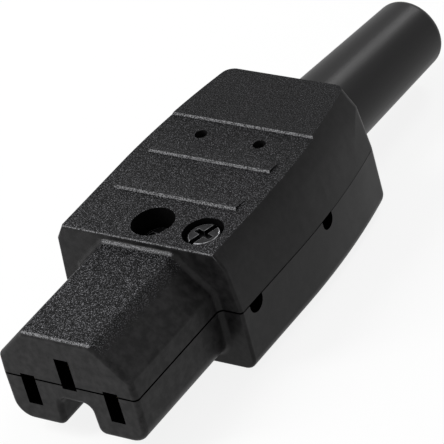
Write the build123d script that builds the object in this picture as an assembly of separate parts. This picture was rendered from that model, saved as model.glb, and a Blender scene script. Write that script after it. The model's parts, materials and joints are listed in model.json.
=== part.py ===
from build123d import *
import math
import os

# A cord-end appliance connector that is wired with a screwdriver.
# X runs across it, +Y from the mating face to the cord, +Z up.
# The origin is the middle of the mating face, on the centre line of the two lower slots.

# Contact layout of the mating face
contact_pitch = 14.0
earth_rise = 4.04
slot_width = 2.42
slot_height = 5.15
face_wall = 2.0

# Nose
nose_length = 20.6
nose_half_width = 11.38
nose_side_inset = 0.15
nose_top = 10.3
nose_bottom = -5.66
nose_flat_half = 5.85
nose_shoulder = 5.15
nose_bottom_radius = 2.95
nose_shoulder_radius = 0.8
nose_edge_radius = 0.8
nose_root_radius = 0.9
key_groove_half = 2.6
key_groove_flare = 0.2
key_groove_top = -0.75
key_groove_radius = 1.3

# Body
body_length = 39.9
body_half_width = 15.1
body_top = 11.64
body_bottom = -7.95
parting = 2.05
side_curve_start = 35.0
side_curve_radius = 120.0
shoulder_level = 9.2
shoulder_inset = 0.75
top_inset = 2.25
lower_draft = 1.0
wall = 2.0
rear_wall = 2.2
rear_corner_radius = 1.7
rear_inset = 0.5
bottom_edge_radius = 2.0
rest_face_rise = 0.25
rest_face_half_width = 10.0
rest_face_front_margin = 2.4
rest_face_rear_margin = 6.5
top_edge_radius = 0.45
seam_chamfer = 0.12
lip_thickness = 0.9
lip_height = 1.0
lip_clearance = 0.1

# Grip steps on the top
step_first = 30.45
step_pitch = 8.8
step_count = 3
step_height = 0.35
step_riser = 0.25
step_ramp = 2.6
step_half_width = 10.35

# Pry notches in the lower shell's rim
notch_depth = 1.3
notch_drop = 2.0
front_notch_place = 24.1
front_notch_radius = 1.55
rear_notch_place = 43.3
rear_notch_radius = 1.35

# Housing screws
housing_screw_place = 25.0
screw_boss_gap = 2.0
centre_recess_radius = 3.2
side_recess_radius = 3.0
centre_head_depth = 2.7
side_head_depth = 0.45
housing_head_radius = 2.75
housing_head_height = 1.9
housing_shank_radius = 1.45
housing_screw_reach = 5.6
screw_clearance = 0.2
boss_wall = 1.2
boss_radius = 2.8
insert_radius = 2.1
insert_length = 6.5
insert_depth = 0.2
thread_clearance = 0.05
lower_boss_radius = 3.2
screw_point_share = 0.3
screw_rim_share = 0.3
driver_slot_width = 0.9
driver_slot_depth = 0.8
driver_cross_width = 0.8
driver_cross_reach = 1.6
slot_turn = 19.0

# Contacts
contact_sheet = 0.5
fold_share = 0.8
contact_front = 2.7
contact_gap_half = 1.25
contact_pinch_half = 0.8
contact_mouth_half = 1.45
contact_pinch_place = 5.0
contact_straight_place = 8.5
contact_end = 16.0
contact_half_height = 2.2
tail_half_height = 1.5
spring_sheet = 0.3
spring_front = 8.8
spring_length = 5.2
pocket_half_width = 2.3
pocket_margin = 0.15
passage_place = 19.3
passage_half_width = 9.4
passage_core_half = 3.6

# Terminals
terminal_pitch = 8.0
terminal_front = 31.0
terminal_length = 6.4
terminal_width = 5.0
terminal_height = 6.0
terminal_bore_radius = 1.5
terminal_screw_place = 4.1
terminal_screw_radius = 1.25
terminal_head_radius = 2.1
terminal_head_height = 1.5
tail_depth = 1.6
partition_thickness = 1.2
partition_overrun = 1.2
pad_thickness = 1.2
stop_gap = 0.3
seat_clearance = 0.05

# Cord clamp
cord_radius = 3.1
clamp_place = 44.8
clamp_screw_offset = 5.0
pilot_radius = 0.95
clamp_boss_radius = 2.5
clamp_seat = -0.4
clamp_length = 5.0
clamp_half_width = 7.6
clamp_thickness = 3.0
clamp_end_share = 0.9
clamp_shank_radius = 1.3
clamp_head_radius = 2.4
clamp_head_height = 1.5
clamp_screw_length = 10.5
saddle_thickness = 1.4

# Bend sleeve
sleeve_base_radius = 6.65
sleeve_end_radius = 5.5
sleeve_end_place = 90.9
sleeve_droop = 4.0
outlet_level = 1.55
sleeve_rim_radius = 1.5
sleeve_bore_radius = 3.3
collar_radius = 8.6
collar_half_height = 7.2
collar_length = 2.2
collar_clearance = 0.15
sleeve_inner_length = 2.0
sleeve_inner_radius = 5.2
sleeve_clearance = 0.35
sleeve_seat_rib = 1.3

# Reach and overrun of the cutting shapes, and how close two levels count as the same
far = 60.0
over = 1.0
beyond = 10.0
same_level = 0.01

# Worked out from the sizes above
body_front = nose_length
body_rear = nose_length + body_length
cavity_front = body_front + wall
cavity_rear = body_rear - rear_wall
roof = body_top - wall
floor = body_bottom + wall
collar_rear = cavity_rear - collar_clearance
collar_front = collar_rear - collar_length
line_offset = -contact_pitch / 2
neutral_offset = contact_pitch / 2
contact_places = [(line_offset, 0), (neutral_offset, 0), (0, earth_rise)]
terminal_places = [(-terminal_pitch, 0), (terminal_pitch, 0), (0, earth_rise)]
contact_bottom = -contact_half_height - contact_sheet
contact_top = contact_half_height + spring_sheet
spring_half_width = contact_gap_half + contact_sheet + spring_sheet
terminal_rear = terminal_front + terminal_length
centre_seat = body_top - centre_head_depth - housing_head_height
side_screw_offset = 2 * lower_boss_radius + screw_boss_gap
inner_tail_place = lower_boss_radius + screw_boss_gap / 2
side_seat = body_top - side_head_depth - housing_head_height
clamp_base = clamp_seat - clamp_thickness
side_draft = math.degrees(math.atan(shoulder_inset / (shoulder_level - parting)))


# A block from two opposite corners
def block(low, high):
    size = [top - base for base, top in zip(low, high)]
    centre = [(top + base) / 2 for base, top in zip(low, high)]
    return Pos(*centre) * Box(*size)


# An upright cylinder between two levels
def post(x, y, low, high, radius):
    return Pos(x, y, (low + high) / 2) * Cylinder(radius, high - low)


# A cylinder along the cord between two places
def barrel(x, z, front, rear, radius):
    return Pos(x, (front + rear) / 2, z) * Rot(90, 0, 0) * Cylinder(radius, rear - front)


# A sheet-metal strip that follows points in plan, standing between two levels
def strip(points, thickness, low, high):
    path = Polyline(*points)
    outline = trace(path, line_width=thickness)
    return Pos(0, 0, low) * extrude(outline, amount=high - low, dir=(0, 0, 1))


# Plan outline of the body, taken in evenly, between two places along the cord
def body_plan(inset, front, rear):
    half = body_half_width - inset
    radius = side_curve_radius - inset
    drop = radius - math.sqrt(radius**2 - (rear - side_curve_start) ** 2)
    right_side = Line((half, front), (half, side_curve_start))
    right_curve = TangentArc((half, side_curve_start), (half - drop, rear), tangent=(0, 1))
    right = Curve() + [right_side, right_curve]
    left = mirror(right, about=Plane.YZ)
    ends = [Line((half, front), (-half, front)), Line((half - drop, rear), (drop - half, rear))]
    return make_face(right.edges() + left.edges() + [end.edge() for end in ends])


# Outline of the nose as seen from the front, with the key groove in its underside
def nose_outline():
    side = nose_half_width
    drafted = side - nose_side_inset
    right = [
        (nose_flat_half, nose_top),
        (drafted, nose_shoulder),
        (side, parting),
        (drafted, nose_bottom),
        (key_groove_half + key_groove_flare, nose_bottom),
        (key_groove_half, key_groove_top),
    ]
    left = [(-x, z) for x, z in reversed(right)]
    face = make_face(Polyline(*right, *left, close=True))
    low_corners = [v for v in face.vertices() if v.Y < nose_bottom + over and abs(v.X) > side / 2]
    face = fillet(low_corners, nose_bottom_radius)
    groove_corners = [v for v in face.vertices() if abs(v.X) < key_groove_half + over and v.Y < 0]
    face = fillet(groove_corners, key_groove_radius)
    shoulders = [v for v in face.vertices() if v.Y > nose_shoulder - same_level]
    return fillet(shoulders, nose_shoulder_radius)


# The nose, with its front edge rounded
def nose_form():
    upright = Plane((0, 0, 0), x_dir=(1, 0, 0), z_dir=(0, -1, 0)) * nose_outline()
    nose = extrude(upright, amount=nose_length + wall, dir=(0, 1, 0))
    front_edges = nose.edges().filter_by(lambda edge: edge.bounding_box().max.Y < same_level)
    return fillet(front_edges, nose_edge_radius)


# The body's upper part up to a level a little above the top, before the steps are cut
def upper_form():
    shoulder_rise = shoulder_level - parting
    top_rise = body_top - shoulder_level
    top_draft = math.degrees(math.atan((top_inset - shoulder_inset) / top_rise))
    reach = (body_front - beyond, body_rear + beyond)
    side_band = extrude(Pos(0, 0, parting) * body_plan(0, *reach), shoulder_rise, taper=side_draft)
    shoulder_face = Pos(0, 0, shoulder_level) * body_plan(shoulder_inset, *reach)
    top_band = extrude(shoulder_face, top_rise + step_height, taper=top_draft)
    return side_band + top_band


# A solid that spans the body's width, from its outline in the cord and upward directions
def crosswise(points, half_width):
    outline = make_face(Polyline(*[(0, y, z) for y, z in points], close=True))
    return extrude(outline, amount=half_width, dir=(1, 0, 0), both=True)


# The corner points of one grip step: riser to the front, ramp to the cord
def step_points(number):
    place = step_first + step_pitch * number
    return [
        (place - step_riser / 2, body_top),
        (place + step_riser / 2, body_top + step_height),
        (place + step_ramp, body_top),
    ]


# Side view of the body: level top, raised behind the last step, and a drafted rear
def side_view():
    foot, brow, _ = step_points(step_count - 1)
    raised = body_top + step_height
    return [
        (body_front, body_bottom),
        (body_front, body_top),
        foot,
        brow,
        (body_rear - rear_inset, raised),
        (body_rear, body_bottom),
    ]


# A plan outline drawn down from the parting to a level, with the lower shell's draft
def drafted_down(outline, level):
    upside_down = extrude(Pos(0, 0, -parting) * outline, parting - level, taper=lower_draft)
    return mirror(upside_down, about=Plane.XY)


# A low flat face under the body, so that it stands steady
def rest_face():
    front = body_front + rest_face_front_margin
    rear = body_rear - rest_face_rear_margin
    low = (-rest_face_half_width, front, body_bottom - rest_face_rise)
    return block(low, (rest_face_half_width, rear, body_bottom + over))


# The body without the nose, with its edges rounded
def body_form():
    reach = (body_front - beyond, body_rear + beyond)
    lower = drafted_down(body_plan(0, *reach), body_bottom)
    body = (upper_form() + lower) & crosswise(side_view(), far)
    rear_edges = body.edges().filter_by(
        lambda edge: edge.bounding_box().min.Y > body_rear - rear_inset - same_level
        and edge.bounding_box().size.Z > over
    )
    body = fillet(rear_edges, rear_corner_radius)
    side_edges = body.edges().filter_by(
        lambda edge: edge.bounding_box().max.Z < body_bottom + same_level
        and abs(edge.center().X) > wall
    )
    body = fillet(side_edges, bottom_edge_radius)
    front_edges = body.edges().filter_by(
        lambda edge: edge.bounding_box().max.Y < body_front + same_level
    )
    body = fillet(front_edges, top_edge_radius)
    for number in range(step_count - 1):
        body += crosswise(step_points(number), step_half_width)
    return body + rest_face()


# Nose and body joined, with the hollow fillet at the nose's root
def outer_form():
    joined = body_form() + nose_form()
    root = joined.edges().filter_by(
        lambda edge: edge.bounding_box().min.Y > body_front - same_level
        and edge.bounding_box().max.Y < body_front + same_level
        and abs(edge.center().X) < nose_half_width + over
        and nose_bottom - over < edge.center().Z < nose_top + over
    )
    return fillet(root, nose_root_radius)


# How far out the side lies at a place along the cord, at the parting level
def side_at(place):
    bend = max(place - side_curve_start, 0)
    return body_half_width - side_curve_radius + math.sqrt(side_curve_radius**2 - bend**2)


# The lower half of the outer form, with a fine seam chamfer along the body
def lower_form(outer):
    half = outer & block((-far, -far, parting - far), (far, 2 * far, parting))
    rim = half.edges().filter_by(
        lambda edge: abs(edge.bounding_box().min.Z - parting) < same_level
        and edge.bounding_box().min.Y > body_front + top_edge_radius - same_level
    )
    return chamfer(rim, seam_chamfer)


# The hollow of the body, level in front and at the rear
def body_hollow():
    plan = body_plan(wall, cavity_front - over, cavity_rear + over)
    upper = extrude(Pos(0, 0, parting) * plan, roof - parting, taper=side_draft)
    return (upper + drafted_down(plan, floor)) & block((-far, cavity_front, -far), (far, cavity_rear, far))


# The slots in the mating face and the pockets behind them
def contact_openings():
    cuts = Part()
    for x, z in contact_places:
        slot_low = (x - slot_width / 2, -over, z - slot_height / 2)
        slot_high = (x + slot_width / 2, face_wall + over, z + slot_height / 2)
        pocket_low = (x - pocket_half_width, face_wall, z + contact_bottom - pocket_margin)
        pocket_high = (x + pocket_half_width, passage_place + over, z + contact_top + pocket_margin)
        cuts += block(slot_low, slot_high) + block(pocket_low, pocket_high)
    return cuts


# The way from the pockets into the body, beside the key groove below the parting
def tail_passage():
    low = contact_bottom - pocket_margin
    top = earth_rise + contact_top + pocket_margin
    rear = cavity_front + over
    upper = block((-passage_half_width, passage_place, parting), (passage_half_width, rear, top))
    left = block((-passage_half_width, passage_place, low), (-passage_core_half, rear, parting))
    return upper + left + mirror(left, about=Plane.YZ)


# Two ribs above a terminal, and a stop in front of it and behind it
def terminal_seat(x, z):
    half = terminal_width / 2
    top = z + terminal_height / 2 + seat_clearance
    stop_base = max(z + tail_half_height + stop_gap, parting)
    seat = Part()
    for place in (terminal_front, terminal_rear - pad_thickness):
        seat += block((x - half, place, top), (x + half, place + pad_thickness, roof + over))
    for place in (terminal_front - seat_clearance - pad_thickness, terminal_rear + seat_clearance):
        seat += block((x - half, place, stop_base), (x + half, place + pad_thickness, roof + over))
    return seat


# The rib under a terminal, in front of its screw head
def terminal_cradle(x, z):
    half = terminal_width / 2
    top = z - terminal_height / 2 - seat_clearance
    front = terminal_front + stop_gap
    return block((x - half, front, floor - over), (x + half, front + pad_thickness, top))


# The walls between the terminals, between two levels
def partitions(low, high):
    walls = Part()
    for side in (-1, 1):
        x = side * terminal_pitch / 2
        front = terminal_front - partition_overrun
        rear = terminal_rear + partition_overrun
        half = partition_thickness / 2
        walls += block((x - half, front, low), (x + half, rear, high))
    return walls


# The wall that holds the sleeve's collar from the front
def collar_wall():
    rear = collar_front - collar_clearance
    front = rear - sleeve_seat_rib
    opening = barrel(0, outlet_level, front - over, rear + over, sleeve_inner_radius + sleeve_clearance)
    return block((-far, front, -far), (far, rear, far)) - opening


# The lip along the inside of both sides, grown by a clearance on every side
def rim_lip(growth):
    outer_inset = wall - lip_thickness - growth
    lip = extrude(body_plan(outer_inset, terminal_front, clamp_place), lip_height + growth)
    if growth == 0:
        lip -= extrude(body_plan(wall, terminal_front - over, clamp_place + over), far)
    return Pos(0, 0, parting) * lip


def upper_shell(outer):
    hollow = body_hollow()
    upper_half = outer & block((-far, -far, parting), (far, 2 * far, far))
    shell = upper_half - hollow - contact_openings() - tail_passage()
    shell -= rim_lip(lip_clearance)
    centre_boss = post(0, housing_screw_place, parting, roof, boss_radius)
    centre_boss += post(
        0, housing_screw_place, centre_seat - boss_wall, roof, centre_recess_radius + boss_wall
    )
    side_boss = post(side_screw_offset, housing_screw_place, parting, roof, boss_radius)
    side_boss += post(
        side_screw_offset,
        housing_screw_place,
        side_seat - boss_wall,
        roof,
        side_recess_radius + boss_wall,
    )
    inside = centre_boss + side_boss + partitions(parting, roof) + collar_wall()
    for x, z in terminal_places:
        inside += terminal_seat(x, z)
    saddle_half = saddle_thickness / 2
    inside += block(
        (-clamp_screw_offset, clamp_place - saddle_half, parting),
        (clamp_screw_offset, clamp_place + saddle_half, roof),
    )
    inside &= hollow & block((-far, 0, parting), (far, far, far))
    for side in (-1, 1):
        inside += post(side * clamp_screw_offset, clamp_place, clamp_seat, roof, clamp_boss_radius)
    shell += inside
    shell -= barrel(0, outlet_level, clamp_place - far / 2, cavity_rear, cord_radius) & block(
        (-far, clamp_place - clamp_length, -far), (far, clamp_place + clamp_length, far)
    )
    hole_radius = housing_shank_radius + screw_clearance
    for x, seat, recess in (
        (0, centre_seat, centre_recess_radius),
        (side_screw_offset, side_seat, side_recess_radius),
    ):
        shell -= post(x, housing_screw_place, seat, body_top + over, recess)
        shell -= post(x, housing_screw_place, parting - over, seat + over, hole_radius)
    for side in (-1, 1):
        x = side * clamp_screw_offset
        tip = clamp_base + clamp_screw_length + seat_clearance
        shell -= post(x, clamp_place, clamp_seat - over, tip, clamp_shank_radius + thread_clearance)
        shell -= post(x, clamp_place, tip - over, body_top + over, pilot_radius)
    opening = sleeve_base_radius + sleeve_clearance
    return shell - barrel(0, outlet_level, cavity_rear - over, body_rear + over, opening)


# A half-round notch in the rim of the lower shell, on both sides
def pry_notches(place, radius):
    deepest = side_at(place) - notch_depth
    reach = notch_depth + over
    level = parting - notch_drop + radius
    round_end = Pos(deepest + reach / 2, place, level) * Rot(0, 90, 0) * Cylinder(radius, reach)
    mouth_low = (deepest, place - radius, level)
    mouth_high = (deepest + reach, place + radius, parting + over)
    mouth = block(mouth_low, mouth_high)
    notch = round_end + mouth
    return notch + mirror(notch, about=Plane.YZ)


def lower_shell(outer):
    hollow = body_hollow()
    shell = lower_form(outer) - hollow - contact_openings() - tail_passage()
    inside = partitions(floor - over, parting) + collar_wall()
    for x, z in terminal_places:
        inside += terminal_cradle(x, z)
    for x in (0, side_screw_offset):
        inside += post(x, housing_screw_place, floor - over, parting, lower_boss_radius)
    below = block((-far, 0, floor - over), (far, far, parting))
    grown_hollow = hollow + (tail_passage() & below)
    shell += inside & grown_hollow & below
    for x in (0, side_screw_offset):
        bottom = parting - insert_depth - insert_length
        shell -= post(x, housing_screw_place, bottom, parting + over, insert_radius)
    shell -= pry_notches(front_notch_place, front_notch_radius)
    shell -= pry_notches(rear_notch_place, rear_notch_radius)
    opening = sleeve_base_radius + sleeve_clearance
    shell -= barrel(0, outlet_level, cavity_rear - over, body_rear + over, opening)
    return shell + rim_lip(0)


# The rubber sleeve: a collar with flats that stop it turning, and a tapered tail that droops
def bend_sleeve():
    tail_length = (sleeve_end_place - collar_rear) / math.cos(math.radians(sleeve_droop))
    inner_front = collar_front - sleeve_inner_length
    to_tail = Pos(0, collar_rear, outlet_level) * Rot(-sleeve_droop, 0, 0)
    cone = Cone(sleeve_base_radius, sleeve_end_radius, tail_length + over)
    tail = Pos(0, (tail_length - over) / 2, 0) * Rot(-90, 0, 0) * cone
    far_rim = tail.edges().filter_by(lambda edge: edge.center().Y > tail_length - same_level)
    tail = fillet(far_rim, sleeve_rim_radius)
    collar = barrel(0, outlet_level, collar_front, collar_rear, collar_radius)
    collar &= block(
        (-far, 0, outlet_level - collar_half_height), (far, far * 2, outlet_level + collar_half_height)
    )
    inner = barrel(0, outlet_level, inner_front, collar_front + over, sleeve_inner_radius)
    bore = barrel(0, 0, -beyond, tail_length + over, sleeve_bore_radius)
    return collar + inner + to_tail * tail - to_tail * bore


# A folded receptacle: two sprung leaves, a base, and one leaf drawn out as the tail
def contact(x, z, tail_side, tail_points):
    middle = contact_sheet / 2
    leaf = [
        (contact_mouth_half + middle, contact_front),
        (contact_pinch_half + middle, contact_pinch_place),
        (contact_gap_half + middle, contact_straight_place),
        (contact_gap_half + middle, contact_end),
    ]
    low = z - contact_half_height
    high = z + contact_half_height
    leaves = Part()
    for side in (-1, 1):
        points = [(x + side * out, place) for out, place in leaf]
        leaves += strip(points, contact_sheet, low, high)
    half = contact_gap_half + contact_sheet
    base_low = (x - half, contact_straight_place, low - contact_sheet)
    base_high = (x + half, contact_end, low)
    base = block(base_low, base_high)
    folds = base.edges().filter_by(Axis.Y).group_by(Axis.Z)[0]
    base = fillet(folds, contact_sheet * fold_share)
    start = (x + tail_side * (contact_gap_half + middle), contact_end - over)
    tail = strip([start] + tail_points, contact_sheet, z - tail_half_height, z + tail_half_height)
    return leaves + base + tail


def line_contact():
    out = line_offset - contact_gap_half - contact_sheet / 2
    end = terminal_front + tail_depth
    points = [
        (out, passage_place + over),
        (-terminal_pitch, terminal_front - over),
        (-terminal_pitch, end),
    ]
    return contact(line_offset, 0, -1, points)


def neutral_contact():
    out = neutral_offset - contact_gap_half - contact_sheet / 2
    return contact(neutral_offset, 0, -1, stepped_tail(out, inner_tail_place, terminal_pitch))


def earth_contact():
    out = -contact_gap_half - contact_sheet / 2
    return contact(0, earth_rise, -1, stepped_tail(out, -inner_tail_place, 0))


# Tail points that pass beside a screw boss and end in a terminal
def stepped_tail(out, aside, terminal):
    boss_end = housing_screw_place + lower_boss_radius
    return [
        (out, passage_place + over / 2),
        (aside, cavity_front),
        (aside, boss_end),
        (terminal, terminal_front - over),
        (terminal, terminal_front + tail_depth),
    ]


# The steel clip that straddles a receptacle from above
def contact_spring(x, z):
    top = z + contact_top
    outer = block(
        (x - spring_half_width, spring_front, z - tail_half_height),
        (x + spring_half_width, spring_front + spring_length, top),
    )
    inner_half = spring_half_width - spring_sheet
    inner = block(
        (x - inner_half, spring_front - over, z - far),
        (x + inner_half, spring_front + spring_length + over, top - spring_sheet),
    )
    corners = outer.edges().filter_by(Axis.Y).group_by(Axis.Z)[-1]
    return fillet(corners, spring_sheet * fold_share) - inner


# The brass block that joins a contact's tail to a core of the cord
def terminal(x, z):
    half_width = terminal_width / 2
    half_height = terminal_height / 2
    body = block(
        (x - half_width, terminal_front, z - half_height),
        (x + half_width, terminal_rear, z + half_height),
    )
    body = chamfer(body.edges().filter_by(Axis.Y), contact_sheet)
    slot_half = contact_sheet / 2 + seat_clearance
    slot_rise = tail_half_height + seat_clearance
    slot_end = terminal_front + tail_depth + seat_clearance
    body -= block(
        (x - slot_half, terminal_front - over, z - slot_rise),
        (x + slot_half, slot_end, z + slot_rise),
    )
    body -= barrel(x, z, slot_end + contact_sheet, terminal_rear + over, terminal_bore_radius)
    screw_place = terminal_front + terminal_screw_place
    thread = terminal_screw_radius + thread_clearance
    return body - post(x, screw_place, z - half_height - over, z, thread)


# A slotted screw that stands upright with its head down, from the underside of its seat
def slotted_screw(x, y, seat, length, shank, head, head_height):
    screw = post(0, 0, 0, length, shank)
    cap = post(0, 0, -head_height, 0, head)
    rim = cap.edges().group_by(Axis.Z)[0]
    cap = chamfer(rim, head_height * screw_rim_share)
    slot_low = (-driver_slot_width / 2, -head - over, -head_height - over)
    slot_high = (driver_slot_width / 2, head + over, driver_slot_depth - head_height)
    return Pos(x, y, seat) * (screw + cap - block(slot_low, slot_high))


def terminal_screw(x, z):
    y = terminal_front + terminal_screw_place
    seat = z - terminal_height / 2
    length = terminal_height / 2 - terminal_bore_radius / 2
    return slotted_screw(
        x, y, seat, length, terminal_screw_radius, terminal_head_radius, terminal_head_height
    )


def clamp_screw(side):
    return slotted_screw(
        side * clamp_screw_offset,
        clamp_place,
        clamp_base,
        clamp_screw_length,
        clamp_shank_radius,
        clamp_head_radius,
        clamp_head_height,
    )


# The bridge that presses the cord's sheath up against the saddle
def cord_clamp():
    half_length = clamp_length / 2
    bridge = block(
        (-clamp_half_width, clamp_place - half_length, clamp_base),
        (clamp_half_width, clamp_place + half_length, clamp_seat),
    )
    bridge = fillet(bridge.edges().filter_by(Axis.Z), half_length * clamp_end_share)
    front = clamp_place - clamp_length
    bridge -= barrel(0, outlet_level, front, clamp_place + clamp_length, cord_radius)
    hole = clamp_shank_radius + screw_clearance
    for x in (-clamp_screw_offset, clamp_screw_offset):
        bridge -= post(x, clamp_place, clamp_base - over, clamp_seat + over, hole)
    return bridge


# A housing screw whose broken-edged head takes a blade or a cross driver
def housing_screw(x, seat):
    top = seat + housing_head_height
    head = post(0, 0, seat, top, housing_head_radius)
    head = chamfer(head.edges().group_by(Axis.Z)[-1], housing_head_height * screw_rim_share)
    shank = post(0, 0, parting - housing_screw_reach, seat, housing_shank_radius)
    shank = chamfer(shank.edges().group_by(Axis.Z)[0], housing_shank_radius * screw_point_share)
    half_slot = driver_slot_width / 2
    half_cross = driver_cross_width / 2
    low = top - driver_slot_depth
    slot = block((-half_slot, -far, low), (half_slot, far, top + over))
    cross = block((-driver_cross_reach, -half_cross, low), (driver_cross_reach, half_cross, top + over))
    turned = Rot(0, 0, -slot_turn) * (head + shank - slot - cross)
    return Pos(x, housing_screw_place, 0) * turned


# The threaded brass insert in a boss of the lower shell
def threaded_insert(x):
    high = parting - insert_depth
    low = high - insert_length
    tube = post(x, housing_screw_place, low, high, insert_radius)
    thread = housing_shank_radius + thread_clearance
    return tube - post(x, housing_screw_place, low - over, high + over, thread)


def all_parts():
    outer = outer_form()
    parts = {
        "upper_shell": upper_shell(outer),
        "lower_shell": lower_shell(outer),
        "bend_sleeve": bend_sleeve(),
        "line_contact": line_contact(),
        "neutral_contact": neutral_contact(),
        "earth_contact": earth_contact(),
        "cord_clamp": cord_clamp(),
        "clamp_screw_left": clamp_screw(-1),
        "clamp_screw_right": clamp_screw(1),
        "housing_screw_centre": housing_screw(0, centre_seat),
        "housing_screw_side": housing_screw(side_screw_offset, side_seat),
        "centre_insert": threaded_insert(0),
        "side_insert": threaded_insert(side_screw_offset),
    }
    for name, place in zip(("line", "neutral", "earth"), contact_places):
        parts[name + "_spring"] = contact_spring(*place)
    for name, place in zip(("line", "neutral", "earth"), terminal_places):
        parts[name + "_terminal"] = terminal(*place)
        parts[name + "_terminal_screw"] = terminal_screw(*place)
    return parts


os.makedirs("parts", exist_ok=True)
for name, shape in all_parts().items():
    export_step(shape, f"parts/{name}.step")
    print(name, round(shape.volume, 1), len(shape.solids()), shape.is_valid)
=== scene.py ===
import bmesh
import bpy
import json
import math
from mathutils import Matrix, Vector


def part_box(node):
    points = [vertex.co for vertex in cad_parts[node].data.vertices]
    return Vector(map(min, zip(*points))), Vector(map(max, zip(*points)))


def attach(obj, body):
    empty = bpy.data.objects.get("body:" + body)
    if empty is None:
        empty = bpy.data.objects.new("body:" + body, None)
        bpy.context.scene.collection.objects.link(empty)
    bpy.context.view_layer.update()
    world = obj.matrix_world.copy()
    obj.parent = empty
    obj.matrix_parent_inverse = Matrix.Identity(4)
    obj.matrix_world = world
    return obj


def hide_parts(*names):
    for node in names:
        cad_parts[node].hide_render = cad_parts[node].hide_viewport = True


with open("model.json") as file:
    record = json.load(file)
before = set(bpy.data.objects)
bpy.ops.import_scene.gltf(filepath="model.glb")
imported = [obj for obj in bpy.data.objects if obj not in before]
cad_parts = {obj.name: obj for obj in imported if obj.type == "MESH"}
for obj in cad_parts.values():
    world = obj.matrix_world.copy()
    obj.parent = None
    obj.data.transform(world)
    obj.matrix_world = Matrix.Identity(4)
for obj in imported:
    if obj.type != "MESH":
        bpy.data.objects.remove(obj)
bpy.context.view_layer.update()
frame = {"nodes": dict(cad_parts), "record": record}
nodes = frame["nodes"]
mm = 0.001
print("frame loaded:", len(nodes), "nodes")


# shader maths: a wire is an output socket, and sums on wires add Math nodes
class Wire:
    def __init__(self, sheet, socket):
        self.sheet = sheet
        self.socket = socket

    def maths(self, operation, first, second):
        return self.sheet.node("ShaderNodeMath", {"operation": operation}, {0: first, 1: second})

    def __add__(self, other):
        return self.maths("ADD", self, other)

    def __radd__(self, other):
        return self.maths("ADD", other, self)

    def __sub__(self, other):
        return self.maths("SUBTRACT", self, other)

    def __rsub__(self, other):
        return self.maths("SUBTRACT", other, self)

    def __mul__(self, other):
        return self.maths("MULTIPLY", self, other)

    def __rmul__(self, other):
        return self.maths("MULTIPLY", other, self)

    def most(self, other):
        return self.maths("MAXIMUM", self, other)

    def size(self):
        return self.maths("ABSOLUTE", self, 0.0)

    # a noise from 0 to 1 becomes a swing about nothing
    def swing(self, amount):
        return (self - 0.5) * amount


# the node tree of one material or of the world
class Finish:
    def __init__(self, owner):
        owner.use_nodes = True
        self.owner = owner
        self.tree = owner.node_tree
        self.tree.nodes.clear()

    def node(self, kind, settings=None, sockets=None, out=0):
        made = self.tree.nodes.new(kind)
        for key, value in (settings or {}).items():
            setattr(made, key, value)
        for key, value in (sockets or {}).items():
            if isinstance(value, Wire):
                self.tree.links.new(value.socket, made.inputs[key])
            else:
                made.inputs[key].default_value = value
        return Wire(self, made.outputs[out]) if made.outputs else None

    def place(self):
        return self.node("ShaderNodeTexCoord", out="Object")

    def facing(self):
        return self.node("ShaderNodeTexCoord", out="Normal")

    def axes(self, vector):
        first = self.node("ShaderNodeSeparateXYZ", None, {0: vector})
        return [Wire(self, socket) for socket in first.socket.node.outputs]

    def noise(self, where, size, detail, rough):
        values = {"Vector": where, "Scale": 1 / size, "Detail": detail, "Roughness": rough}
        return self.node("ShaderNodeTexNoise", None, values)

    # from 0 at the first of the two ends to 1 at the second
    def fade(self, value, ends):
        values = {"Value": value, "From Min": ends[0], "From Max": ends[1]}
        return self.node("ShaderNodeMapRange", None, values)

    def attribute(self, name):
        return self.node("ShaderNodeAttribute", {"attribute_name": name}, None, "Fac")

    def blend(self, factor, first, second):
        values = {0: factor, 6: first, 7: second}
        return self.node("ShaderNodeMix", {"data_type": "RGBA"}, values, 2)

    def bump(self, height, strength, distance, normal=None):
        values = {"Height": height, "Strength": strength, "Distance": distance}
        if normal is not None:
            values["Normal"] = normal
        return self.node("ShaderNodeBump", None, values)

    def principled(self, **values):
        sockets = {key.replace("_", " "): value for key, value in values.items()}
        return self.node("ShaderNodeBsdfPrincipled", None, sockets)

    def mixed(self, factor, first, second):
        return self.node("ShaderNodeMixShader", None, {0: factor, 1: first, 2: second})

    # 1 for the rays that see floor and surround as plain white
    def plainRays(self):
        names = ("Is Camera Ray", "Is Glossy Ray", "Is Transmission Ray")
        seen, mirrored, cleared = [self.node("ShaderNodeLightPath", out=name) for name in names]
        return seen.most(mirrored).most(cleared)

    def output(self, shader, kind="ShaderNodeOutputMaterial"):
        self.node(kind, None, {"Surface": shader})
        return self.owner

    def surface(self, **values):
        return self.output(self.principled(**values))


def newFinish(name):
    return Finish(bpy.data.materials.new(name))


def addObject(name, data):
    made = bpy.data.objects.new(name, data)
    bpy.context.scene.collection.objects.link(made)
    return made


# the camera stands where the photograph was taken from, with its centre in millimetres
cameraPlace = {
    "centre": (303.12, -294.94, 304.41),
    "right": (0.8147, 0.5327, -0.2291),
    "ahead": (-0.5584, 0.6142, -0.5576),
    "focalPixels": 3865.2,
    "framePixels": 444,
    "sensor": 36.0,
    "nearest": 0.01,
    "farthest": 20.0,
}


def makeCamera(say):
    data = bpy.data.cameras.new("photoCamera")
    data.sensor_width = say["sensor"]
    data.lens = say["focalPixels"] * say["sensor"] / say["framePixels"]
    data.clip_start = say["nearest"]
    data.clip_end = say["farthest"]
    camera = addObject("photoCamera", data)
    right = Vector(say["right"]).normalized()
    back = -Vector(say["ahead"]).normalized()
    up = back.cross(right).normalized()
    right = up.cross(back)
    turn = Matrix((right, up, back)).transposed().to_4x4()
    camera.matrix_world = Matrix.Translation(Vector(say["centre"]) * mm) @ turn
    bpy.context.scene.camera = camera


makeCamera(cameraPlace)
print("camera set")


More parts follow.
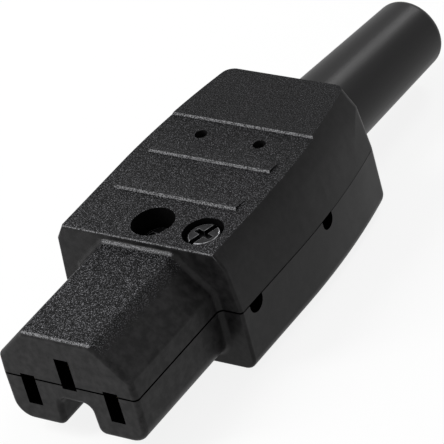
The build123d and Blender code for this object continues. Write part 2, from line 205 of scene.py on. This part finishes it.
# studio: a pale floor, a white surround and soft boxes
studio = {
    "floorHalf": 3.0,
    "floorColour": (0.86, 0.86, 0.86, 1.0),
    "floorGlow": 0.86,
    "white": 1.0,
    "surroundLight": 0.5,
    "middle": (0.0, 0.040, 0.0),
    "boxes": {
        "keyBox": {
            "towards": (-0.56, -0.45, 0.68), "away": 0.60,
            "wide": 0.20, "tall": 0.42, "power": 3.4,
        },
        "streakBox": {
            "towards": (0.0, 0.78, 0.62), "away": 0.60,
            "wide": 0.14, "tall": 0.12, "power": 0.95,
        },
    },
}


def makeFloor(say, level):
    half = say["floorHalf"]
    corners = [(-half, -half, level), (half, -half, level),
               (half, half, level), (-half, half, level)]
    mesh = bpy.data.meshes.new("paleFloor")
    mesh.from_pydata(corners, [], [(0, 1, 2, 3)])
    floor = addObject("paleFloor", mesh)
    finish = newFinish("floorPaper")
    matt = finish.node("ShaderNodeBsdfDiffuse", None, {"Color": say["floorColour"]})
    glow = finish.node("ShaderNodeEmission", None, {"Strength": say["white"]})
    share = finish.plainRays() * say["floorGlow"]
    mesh.materials.append(finish.output(finish.mixed(share, matt, glow)))


def makeSurround(say):
    finish = Finish(bpy.data.worlds.new("whiteSurround"))
    values = {"Value": finish.plainRays(), "To Min": say["surroundLight"], "To Max": say["white"]}
    level = finish.node("ShaderNodeMapRange", None, values)
    back = finish.node("ShaderNodeBackground", None, {"Strength": level})
    bpy.context.scene.world = finish.output(back, "ShaderNodeOutputWorld")


def makeSoftBoxes(say):
    middle = Vector(say["middle"])
    for name, box in say["boxes"].items():
        data = bpy.data.lights.new(name, "AREA")
        data.shape = "RECTANGLE"
        data.size = box["wide"]
        data.size_y = box["tall"]
        data.energy = box["power"]
        lamp = addObject(name, data)
        towards = Vector(box["towards"]).normalized()
        lamp.location = middle + towards * box["away"]
        lamp.rotation_euler = towards.to_track_quat("Z", "Y").to_euler()


makeFloor(studio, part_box("lower_shell")[0].z)
makeSurround(studio)
makeSoftBoxes(studio)
bpy.context.scene.view_settings.view_transform = "Standard"
print("studio lit")


# copies of nodes: what all of their broken edges share
edgeForm = {
    "merge": 0.001 * mm,
    "flatAngle": 0.4,
    "segments": 2,
    "profile": 0.6,
    "sliver": 0.0005 * mm,
    "creaseAngle": 32.0,
    "shadeStep": 0.3,
}


# the sharp edges that get broken: none beside a shaded hollow and none too short
def sharpEdges(made, jointAndShade, say):
    least = math.radians(say["edgeAngle"])
    return [edge for edge in made.edges
            if edge.is_manifold and edge.calc_face_angle_signed() > least
            and not any(face[jointAndShade] for face in edge.link_faces)
            and edge.calc_length() > say["edgeLength"]]


# smooth shading, except over creases and round shaded hollows
def smoothShading(made, jointAndShade, form):
    for face in made.faces:
        face.smooth = True
    for edge in made.edges:
        shades = [face[jointAndShade] for face in edge.link_faces]
        even = max(shades) - min(shades) < form["shadeStep"]
        edge.smooth = even and edge.calc_face_angle(0.0) < math.radians(form["creaseAngle"])


# a merged copy of a node, with a fine edge break whose faces carry the pale edge colour: wear and
# painted edge highlight
def brokenEdgeCopy(node, name, say, form):
    made = bmesh.new()
    made.from_mesh(nodes[node].data)
    bmesh.ops.remove_doubles(made, verts=made.verts, dist=form["merge"])
    bmesh.ops.dissolve_limit(made, angle_limit=math.radians(form["flatAngle"]),
                             verts=made.verts, edges=made.edges)
    worn = made.faces.layers.float.new("worn")
    jointAndShade = made.faces.layers.float.new("jointAndShade")
    if "hollows" in say:
        cutSeam(made, say["hollows"], form)
        shadeHollows(made, jointAndShade, say["hollows"])
    broken = bmesh.ops.bevel(made, geom=sharpEdges(made, jointAndShade, say), offset=say["edgeWidth"],
                             offset_type="OFFSET", segments=form["segments"],
                             profile=form["profile"], affect="EDGES",
                             clamp_overlap=say["edgeClamped"])
    for face in broken["faces"]:
        face[worn] = 1.0
    bmesh.ops.dissolve_degenerate(made, dist=form["sliver"], edges=made.edges)
    made.normal_update()
    smoothShading(made, jointAndShade, form)
    mesh = bpy.data.meshes.new(name)
    made.to_mesh(mesh)
    made.free()
    piece = addObject(name, mesh)
    weights = piece.modifiers.new("evenShading", "WEIGHTED_NORMAL")
    weights.keep_sharp = True
    return plainMesh(piece)


def plainMesh(piece):
    bpy.context.view_layer.update()
    graph = bpy.context.evaluated_depsgraph_get()
    mesh = bpy.data.meshes.new_from_object(piece.evaluated_get(graph), depsgraph=graph)
    mesh.name = piece.name
    piece.modifiers.clear()
    piece.data = mesh
    return piece


def dress(piece, material, node):
    piece.data.materials.clear()
    piece.data.materials.append(material)
    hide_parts(node)
    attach(piece, "root")


# moulded shells: spark-eroded grain on top with painted sparkles, painted glints on faces that tilt
# up to the front, smoother sides, pale edges of wear and painted edge highlight, a dark parting
# line, and painted shade in the hollows and on the body
shellLook = {
    # node, piece and how much of the grain it shows
    "shells": (("upper_shell", "upperShell", 1.0), ("lower_shell", "lowerShell", 0.0)),
    # colours of the smooth skin, of its pale edges (wear and painted edge highlight), of the eroded
    # grain with its painted sparkles and glints, and of the dark parting line and the painted shade
    # in the hollows
    "colour": (0.0042, 0.0041, 0.0044, 1.0),
    "dust": (0.0095, 0.0093, 0.0096, 1.0),
    "mottleColour": (0.019, 0.0185, 0.019, 1.0),
    "wornAndHighlitColour": (0.045, 0.045, 0.048, 1.0),
    "grainColour": (0.0022, 0.0022, 0.0025, 1.0),
    "paintedSparkleColour": (0.27, 0.27, 0.285, 1.0),
    "glintColour": (0.34, 0.34, 0.35, 1.0),
    "jointAndShadeColour": (0.0004, 0.0004, 0.0004, 1.0),
    # noises: size, detail and roughness
    "flow": (6.0 * mm, 3.0, 0.55),
    "mottle": (1.3 * mm, 3.0, 0.6),
    "fine": (0.11 * mm, 2.0, 0.5),
    "grainSize": 0.20 * mm,
    "cellSmoothness": 0.25,
    "pitShare": 0.8,
    "pitDetail": (3.0, 0.65),
    # places along the connector and across its nose
    "grainFades": (8.0 * mm, 52.0 * mm),
    "noseEnds": (19.0 * mm, 23.0 * mm),
    "noseShoulder": (7.8 * mm, 5.6 * mm),
    # the normal's parts, between which each kind of face fades in
    "levelUp": (0.80, 0.985),
    "shoulderUp": (0.6, 0.7),
    "riserAlong": (-0.38, -0.62),
    "riserUp": (0.38, 0.60),
    "riserSide": (0.45, 0.2),
    # shares of the layers of colour
    "dustShare": 0.5,
    "fineDustShare": 0.3,
    "mottleFade": (0.38, 0.66),
    "bodyLosesMottle": 0.7,
    "wornAndHighlitFade": (0.35, 0.65),
    "wornAndHighlitShare": 0.6,
    "paintedSparkleFade": (0.54, 0.68),
    "rearLosesPaintedSparkles": 0.6,
    "glintFade": (0.40, 0.60),
    "glintShare": 0.85,
    "rearLosesGlints": 0.1,
    # relief
    "cellHeight": 0.6,
    "pitHeight": 0.8,
    "grainStrength": 0.9,
    "grainDepth": 0.10 * mm,
    "fineStrength": 0.35,
    "fineDepth": 0.006 * mm,
    # gloss
    "roughness": 0.42,
    "flowRoughness": 0.16,
    "pitRoughness": 0.35,
    "wornPolish": 0.08,
    "smoothSpecular": 0.14,
    "grainSpecular": 0.06,
    # edge break
    "edgeWidth": 0.07 * mm,
    "edgeAngle": 28.0,
    "edgeLength": 2.5 * mm,
    "edgeClamped": False,
    # the parting line, and where the notches, slots and recesses lie
    "hollows": {
        "partingLevel": 2.05 * mm,
        "seamWidth": 0.14 * mm,
        "seamDepth": 0.09 * mm,
        # from which place along, and how open the line is there
        "faintSeam": (21.4 * mm, 0.4),
        "closedSeam": (45.0 * mm, 0.1),
        "nearRim": 0.02 * mm,
        "wallTilt": 0.9,
        "leastWall": 0.001,
        "slack": 0.01 * mm,
        # place along and half length, in millimetres
        "notches": ((24.1, 1.65), (43.3, 1.45)),
        "notchLow": 0.03 * mm,
        "notchInner": 12.9 * mm,
        # middle, lowest and highest, in millimetres
        "slots": ((0.0, 1.4, 6.7), (-7.0, -2.7, 2.7), (7.0, -2.7, 2.7)),
        "slotHalf": 1.3 * mm,
        "slotDeep": 2.6 * mm,
        # place across, place along and radius, in millimetres
        "recesses": ((0.0, 25.0, 3.25), (8.4, 25.0, 3.05)),
        "recessLow": 3.0 * mm,
        "recessShade": 0.65,
    },
}


# where the eroded grain shows, and the faces that tilt up towards the front (the risers of the grip
# steps and the front fillets), both from 0 to 1; the second carries the painted glints
def grainMasks(finish, say, where, body):
    side, along, up = finish.axes(finish.facing())
    across = finish.axes(where)[0]
    risers = finish.fade(along, say["riserAlong"]) * finish.fade(up, say["riserUp"])
    risers = risers * finish.fade(side.size(), say["riserSide"])
    shoulders = finish.fade(across.size(), say["noseShoulder"]) * finish.fade(up, say["shoulderUp"])
    level = finish.fade(up, say["levelUp"]).most(shoulders * (1 - body))
    return level.most(risers), risers


def makeShellFinish(name, say, grain):
    finish = newFinish(name)
    where = finish.place()
    back = finish.axes(where)[1]
    rear = finish.fade(back, say["grainFades"])
    body = finish.fade(back, say["noseEnds"])
    grained, risers = grainMasks(finish, say, where, body)
    grained = grained * grain
    flow = finish.noise(where, *say["flow"])
    mottle = finish.noise(where, *say["mottle"])
    fine = finish.noise(where, *say["fine"])
    pits = finish.noise(where, say["grainSize"] * say["pitShare"], *say["pitDetail"])
    values = {"Vector": where, "Scale": 1 / say["grainSize"], "Smoothness": say["cellSmoothness"]}
    cells = finish.node("ShaderNodeTexVoronoi", {"feature": "SMOOTH_F1"}, values)

    dust = flow * say["dustShare"] + fine * say["fineDustShare"]
    # the mottle is tone that differs at random; the body behind the nose keeps less of it and
    # renders darker, as painted shade for its front in the nose's shadow
    clouds = finish.fade(mottle, say["mottleFade"]) * (1 - body * say["bodyLosesMottle"])
    # pale broken edges: partly wear, partly a painted edge highlight
    rubbedAndHighlit = finish.attribute("worn") * finish.fade(flow, say["wornAndHighlitFade"])
    colour = finish.blend(dust, say["colour"], say["dust"])
    colour = finish.blend(clouds, colour, say["mottleColour"])
    colour = finish.blend(rubbedAndHighlit * say["wornAndHighlitShare"], colour, say["wornAndHighlitColour"])

    # painted highlights: pale sparkles over the grain and pale glints on the faces that tilt up to
    # the front stand in for glints of the key light, fewer towards the rear
    paintedSparkles = finish.fade(pits, say["paintedSparkleFade"]) * (1 - rear * say["rearLosesPaintedSparkles"])
    glints = finish.fade(pits, say["glintFade"]) * (1 - rear * say["rearLosesGlints"])
    glints = risers * glints * say["glintShare"]
    grainAndPaintedGlints = finish.blend(glints, say["grainColour"], say["glintColour"])
    grainAndPaintedGlints = finish.blend(paintedSparkles, grainAndPaintedGlints, say["paintedSparkleColour"])

    relief = (cells * say["cellHeight"] + pits * say["pitHeight"]) * grained
    normal = finish.bump(fine, say["fineStrength"], say["fineDepth"])
    normal = finish.bump(relief, say["grainStrength"], say["grainDepth"], normal)
    rough = say["roughness"] + flow.swing(say["flowRoughness"])
    rough = rough + grained * pits.swing(say["pitRoughness"]) - rubbedAndHighlit * say["wornPolish"]

    smooth = finish.principled(Base_Color=colour, Roughness=rough, Normal=normal,
                               Specular_IOR_Level=say["smoothSpecular"])
    eroded = finish.principled(Base_Color=grainAndPaintedGlints, Roughness=rough, Normal=normal,
                               Specular_IOR_Level=say["grainSpecular"])
    plastic = finish.mixed(grained, smooth, eroded)
    # a near-black matt surface: the dark parting line, and painted shade inside the slots, notches
    # and recesses
    jointAndShadeSurface = finish.node("ShaderNodeBsdfDiffuse", None, {"Color": say["jointAndShadeColour"]})
    return finish.output(finish.mixed(finish.attribute("jointAndShade"), plastic, jointAndShadeSurface))


# a ring is cut round the rim and the rim drawn in, so that the two shells make a groove
def cutSeam(made, say, form):
    level = say["partingLevel"]
    for step in (-say["seamWidth"], say["seamWidth"]):
        everything = made.verts[:] + made.edges[:] + made.faces[:]
        bmesh.ops.bisect_plane(made, geom=everything, dist=form["merge"],
                               plane_co=(0, 0, level + step), plane_no=(0, 0, 1))
    moves = []
    for vert in made.verts:
        if abs(vert.co.z - level) < say["nearRim"]:
            normals = [face.normal for face in vert.link_faces]
            out = sum((tilt for tilt in normals if abs(tilt.z) < say["wallTilt"]), Vector())
            out.z = 0.0
            if out.length > say["leastWall"]:
                share = seamShare(vert.co.y, say)
                moves.append((vert, out.normalized() * say["seamDepth"] * share))
    for vert, move in moves:
        vert.co -= move
    made.normal_update()


# how open the parting line is: clear round the nose, faint along the body, closed at its rear
def seamShare(back, say):
    for place, share in (say["closedSeam"], say["faintSeam"]):
        if back > place:
            return share
    return 1.0


# the faces of the parting line are marked with how open the line is, and those inside the notches,
# slots and recesses with painted shade
def shadeHollows(made, jointAndShade, say):
    reach = say["seamWidth"] + say["slack"]
    for face in made.faces:
        points = [vert.co for vert in face.verts]
        if all(abs(point.z - say["partingLevel"]) < reach for point in points):
            face[jointAndShade] = seamShare(face.calc_center_median().y, say)
        elif any(all(inside(point, say) for point in points) for inside in (inNotch, inSlot)):
            face[jointAndShade] = 1.0
        elif all(inRecess(point, say) for point in points):
            face[jointAndShade] = say["recessShade"]


def inNotch(point, say):
    top = say["partingLevel"] + say["slack"]
    beside = abs(point.x) > say["notchInner"] and say["notchLow"] < point.z < top
    return beside and any(abs(point.y - along * mm) < half * mm for along, half in say["notches"])


def inSlot(point, say):
    return point.y <= say["slotDeep"] and any(
        abs(point.x - middle * mm) < say["slotHalf"] and low * mm < point.z < top * mm
        for middle, low, top in say["slots"])


def inRecess(point, say):
    return point.z > say["recessLow"] and any(
        math.hypot(point.x - across * mm, point.y - along * mm) < radius * mm
        for across, along, radius in say["recesses"])


for node, name, grain in shellLook["shells"]:
    shell = brokenEdgeCopy(node, name, shellLook, edgeForm)
    dress(shell, makeShellFinish(name + "Plastic", shellLook, grain), node)
    print(name, len(shell.data.polygons), "faces")


# bend sleeve: smooth rubber with faint flow marks along it
sleeveLook = {
    "colour": (0.0062, 0.0060, 0.0064, 1.0),
    "bloom": (0.019, 0.0185, 0.019, 1.0),
    "stretch": (1.0, 0.12, 1.0),
    "broad": (5.0 * mm, 4.0, 0.6),
    "broadShare": 0.6,
    "fine": (0.25 * mm, 2.0, 0.5),
    "fineShare": 0.15,
    "fineStrength": 0.25,
    "fineDepth": 0.01 * mm,
    "roughness": 0.41,
    "broadRoughness": 0.2,
    "specular": 0.16,
    "edgeWidth": 0.12 * mm,
    "edgeAngle": 40.0,
    "edgeLength": 0.0,
    "edgeClamped": True,
}


def makeSleeveFinish(name, say):
    finish = newFinish(name)
    where = finish.place()
    drawn = finish.node("ShaderNodeMapping", None, {"Vector": where, "Scale": say["stretch"]})
    broad = finish.noise(drawn, *say["broad"])
    fine = finish.noise(where, *say["fine"])
    bloom = broad * say["broadShare"] + fine * say["fineShare"]
    return finish.surface(
        Base_Color=finish.blend(bloom, say["colour"], say["bloom"]),
        Roughness=say["roughness"] + broad.swing(say["broadRoughness"]),
        Normal=finish.bump(fine, say["fineStrength"], say["fineDepth"]),
        Specular_IOR_Level=say["specular"])


sleeve = brokenEdgeCopy("bend_sleeve", "bendSleeve", sleeveLook, edgeForm)
dress(sleeve, makeSleeveFinish("mouldedRubber", sleeveLook), "bend_sleeve")
print("sleeve", len(sleeve.data.polygons), "faces")


# plated steel screws: turned heads with tarnish spots and pale broken edges
screwLook = {
    "colour": (0.035, 0.035, 0.037, 1.0),
    "tarnish": (0.008, 0.008, 0.008, 1.0),
    "tarnishFade": (0.4, 0.75),
    "wornAndHighlitColour": (0.32, 0.32, 0.33, 1.0),
    "wornAndHighlitFade": (0.35, 0.6),
    "spots": (0.6 * mm, 4.0, 0.65),
    "ringScale": 312.5,
    "ringWobble": 1.5,
    "ringDetail": 2.0,
    "spotHeight": 0.5,
    "strength": 0.2,
    "depth": 0.01 * mm,
    "roughness": 0.34,
    "spotRoughness": 0.3,
    "edgeWidth": 0.07 * mm,
    "edgeAngle": 40.0,
    "edgeLength": 0.0,
    "edgeClamped": True,
}


def makeScrewFinish(name, say, centre):
    finish = newFinish(name)
    where = finish.place()
    values = {"Vector": where, "Location": centre}
    around = finish.node("ShaderNodeMapping", {"vector_type": "TEXTURE"}, values)
    settings = {"wave_type": "RINGS", "rings_direction": "Z"}
    values = {"Vector": around, "Scale": say["ringScale"], "Distortion": say["ringWobble"],
              "Detail": say["ringDetail"]}
    rings = finish.node("ShaderNodeTexWave", settings, values)
    spots = finish.noise(where, *say["spots"])
    tarnish = finish.fade(spots, say["tarnishFade"])
    # pale broken edges: partly wear, partly painted glints along the slot and rim edges
    rubbedAndHighlit = finish.attribute("worn") * finish.fade(spots, say["wornAndHighlitFade"])
    colour = finish.blend(tarnish, say["colour"], say["tarnish"])
    return finish.surface(
        Base_Color=finish.blend(rubbedAndHighlit, colour, say["wornAndHighlitColour"]),
        Roughness=say["roughness"] + spots.swing(say["spotRoughness"]),
        Normal=finish.bump(rings + spots * say["spotHeight"], say["strength"], say["depth"]),
        Metallic=1.0)


screwNodes = ("housing_screw_centre", "housing_screw_side", "clamp_screw_left", "clamp_screw_right",
              "line_terminal_screw", "neutral_terminal_screw", "earth_terminal_screw")
for node in screwNodes:
    low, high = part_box(node)
    words = node.split("_")
    name = words[0] + "".join(word.title() for word in words[1:])
    screw = brokenEdgeCopy(node, name, screwLook, edgeForm)
    centre = tuple((low + high) / 2)
    dress(screw, makeScrewFinish(name + "Steel", screwLook, centre), node)
print("screws made")


# thread turns: one node tree winds a ridge and stands it at each foot of its kind of shank
threadLook = {
    "proud": 0.04 * mm,
    "ridgeRadius": 0.11 * mm,
    "ridgeSides": 6,
    "stepsPerTurn": 24,
    # the feet are in millimetres
    "shanks": {
        "housingThreads": {
            "radius": 1.45 * mm, "pitch": 0.5 * mm, "length": 4.8 * mm,
            "feet": [(0.0, 25.0, -3.0), (8.4, 25.0, -3.0)],
        },
        "clampThreads": {
            "radius": 1.3 * mm, "pitch": 1.0 * mm, "length": 9.6 * mm,
            "feet": [(-5.0, 44.8, -2.9), (5.0, 44.8, -2.9)],
        },
        "terminalThreads": {
            "radius": 1.25 * mm, "pitch": 0.45 * mm, "length": 1.9 * mm,
            "feet": [(-8.0, 35.1, -2.8), (8.0, 35.1, -2.8), (0.0, 35.1, 1.24)],
        },
    },
}

threadSockets = (
    ("Feet", "INPUT", "NodeSocketGeometry"),
    ("Coil Radius", "INPUT", "NodeSocketFloat"),
    ("Length", "INPUT", "NodeSocketFloat"),
    ("Turns", "INPUT", "NodeSocketFloat"),
    ("Ridge Radius", "INPUT", "NodeSocketFloat"),
    ("Ridge Sides", "INPUT", "NodeSocketInt"),
    ("Steps Per Turn", "INPUT", "NodeSocketInt"),
    ("Finish", "INPUT", "NodeSocketMaterial"),
    ("Threads", "OUTPUT", "NodeSocketGeometry"),
)
threadNodes = {
    "start": "NodeGroupInput",
    "coil": "GeometryNodeCurveSpiral",
    "ridge": "GeometryNodeCurvePrimitiveCircle",
    "sweep": "GeometryNodeCurveToMesh",
    "stand": "GeometryNodeInstanceOnPoints",
    "real": "GeometryNodeRealizeInstances",
    "paint": "GeometryNodeSetMaterial",
    "end": "NodeGroupOutput",
}
threadWires = (
    ("start", "Coil Radius", "coil", "Start Radius"),
    ("start", "Coil Radius", "coil", "End Radius"),
    ("start", "Length", "coil", "Height"),
    ("start", "Turns", "coil", "Rotations"),
    ("start", "Steps Per Turn", "coil", "Resolution"),
    ("start", "Ridge Radius", "ridge", "Radius"),
    ("start", "Ridge Sides", "ridge", "Resolution"),
    ("coil", "Curve", "sweep", "Curve"),
    ("ridge", "Curve", "sweep", "Profile Curve"),
    ("start", "Feet", "stand", "Points"),
    ("sweep", "Mesh", "stand", "Instance"),
    ("stand", "Instances", "real", "Geometry"),
    ("real", "Geometry", "paint", "Geometry"),
    ("start", "Finish", "paint", "Material"),
    ("paint", "Geometry", "end", "Threads"),
)


def makeThreadTree(name):
    tree = bpy.data.node_groups.new(name, "GeometryNodeTree")
    for label, way, kind in threadSockets:
        tree.interface.new_socket(label, in_out=way, socket_type=kind)
    made = {key: tree.nodes.new(kind) for key, kind in threadNodes.items()}
    made["sweep"].inputs["Fill Caps"].default_value = True
    for source, leaves, target, enters in threadWires:
        tree.links.new(made[source].outputs[leaves], made[target].inputs[enters])
    return tree


def makeThreads(name, shank, say, tree, material):
    feet = bpy.data.meshes.new(name)
    feet.from_pydata([Vector(foot) * mm for foot in shank["feet"]], [], [])
    piece = addObject(name, feet)
    values = {
        "Coil Radius": shank["radius"] + say["proud"] - say["ridgeRadius"],
        "Length": shank["length"],
        "Turns": shank["length"] / shank["pitch"],
        "Ridge Radius": say["ridgeRadius"],
        "Ridge Sides": say["ridgeSides"],
        "Steps Per Turn": say["stepsPerTurn"],
        "Finish": material,
    }
    turns = piece.modifiers.new("threadTurns", "NODES")
    turns.node_group = tree
    for socket in tree.interface.items_tree:
        if socket.name in values:
            turns[socket.identifier] = values[socket.name]
    plainMesh(piece)
    outward = bmesh.new()
    outward.from_mesh(piece.data)
    bmesh.ops.recalc_face_normals(outward, faces=outward.faces)
    outward.to_mesh(piece.data)
    outward.free()
    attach(piece, "root")
    print(name, len(piece.data.polygons), "faces")


threadTree = makeThreadTree("windThreads")
threadFinish = makeScrewFinish("threadSteel", screwLook, (0.0, 0.0, 0.0))
for name, shank in threadLook["shanks"].items():
    makeThreads(name, shank, threadLook, threadTree, threadFinish)


# brass and spring steel inside, and the moulded clamp
metalLook = {
    # colour, duller colour and roughness of each slot
    "slots": {
        "contact": ((0.74, 0.56, 0.26, 1.0), (0.40, 0.27, 0.12, 1.0), 0.30),
        "terminal": ((0.76, 0.58, 0.27, 1.0), (0.46, 0.32, 0.14, 1.0), 0.26),
        "spring": ((0.50, 0.50, 0.50, 1.0), (0.22, 0.22, 0.23, 1.0), 0.32),
    },
    "stretch": (1.0, 0.06, 1.0),
    "lines": (0.12 * mm, 2.0, 0.5),
    "cloud": (2.5 * mm, 4.0, 0.6),
    "cloudShare": 0.8,
    "strength": 0.25,
    "depth": 0.008 * mm,
    "cloudRoughness": 0.3,
}
clampLook = {"grainSize": 0.18 * mm, "grain": 0.5}


def makeMetalFinish(name, say, colour, dull, roughness):
    finish = newFinish(name)
    where = finish.place()
    drawn = finish.node("ShaderNodeMapping", None, {"Vector": where, "Scale": say["stretch"]})
    lines = finish.noise(drawn, *say["lines"])
    cloud = finish.noise(where, *say["cloud"])
    return finish.surface(
        Base_Color=finish.blend(cloud * say["cloudShare"], colour, dull),
        Roughness=roughness + cloud.swing(say["cloudRoughness"]),
        Normal=finish.bump(lines, say["strength"], say["depth"]),
        Metallic=1.0)


inside = {slot: makeMetalFinish(slot + "Metal", metalLook, *values)
          for slot, values in metalLook["slots"].items()}
inside["clamp"] = makeShellFinish("mouldedClamp", {**shellLook, **clampLook}, clampLook["grain"])
for part in frame["record"]["subparts"]:
    if part["material_slot"] in inside:
        mesh = nodes[part["node"]].data
        mesh.materials.clear()
        mesh.materials.append(inside[part["material_slot"]])
print("inner pieces dressed")
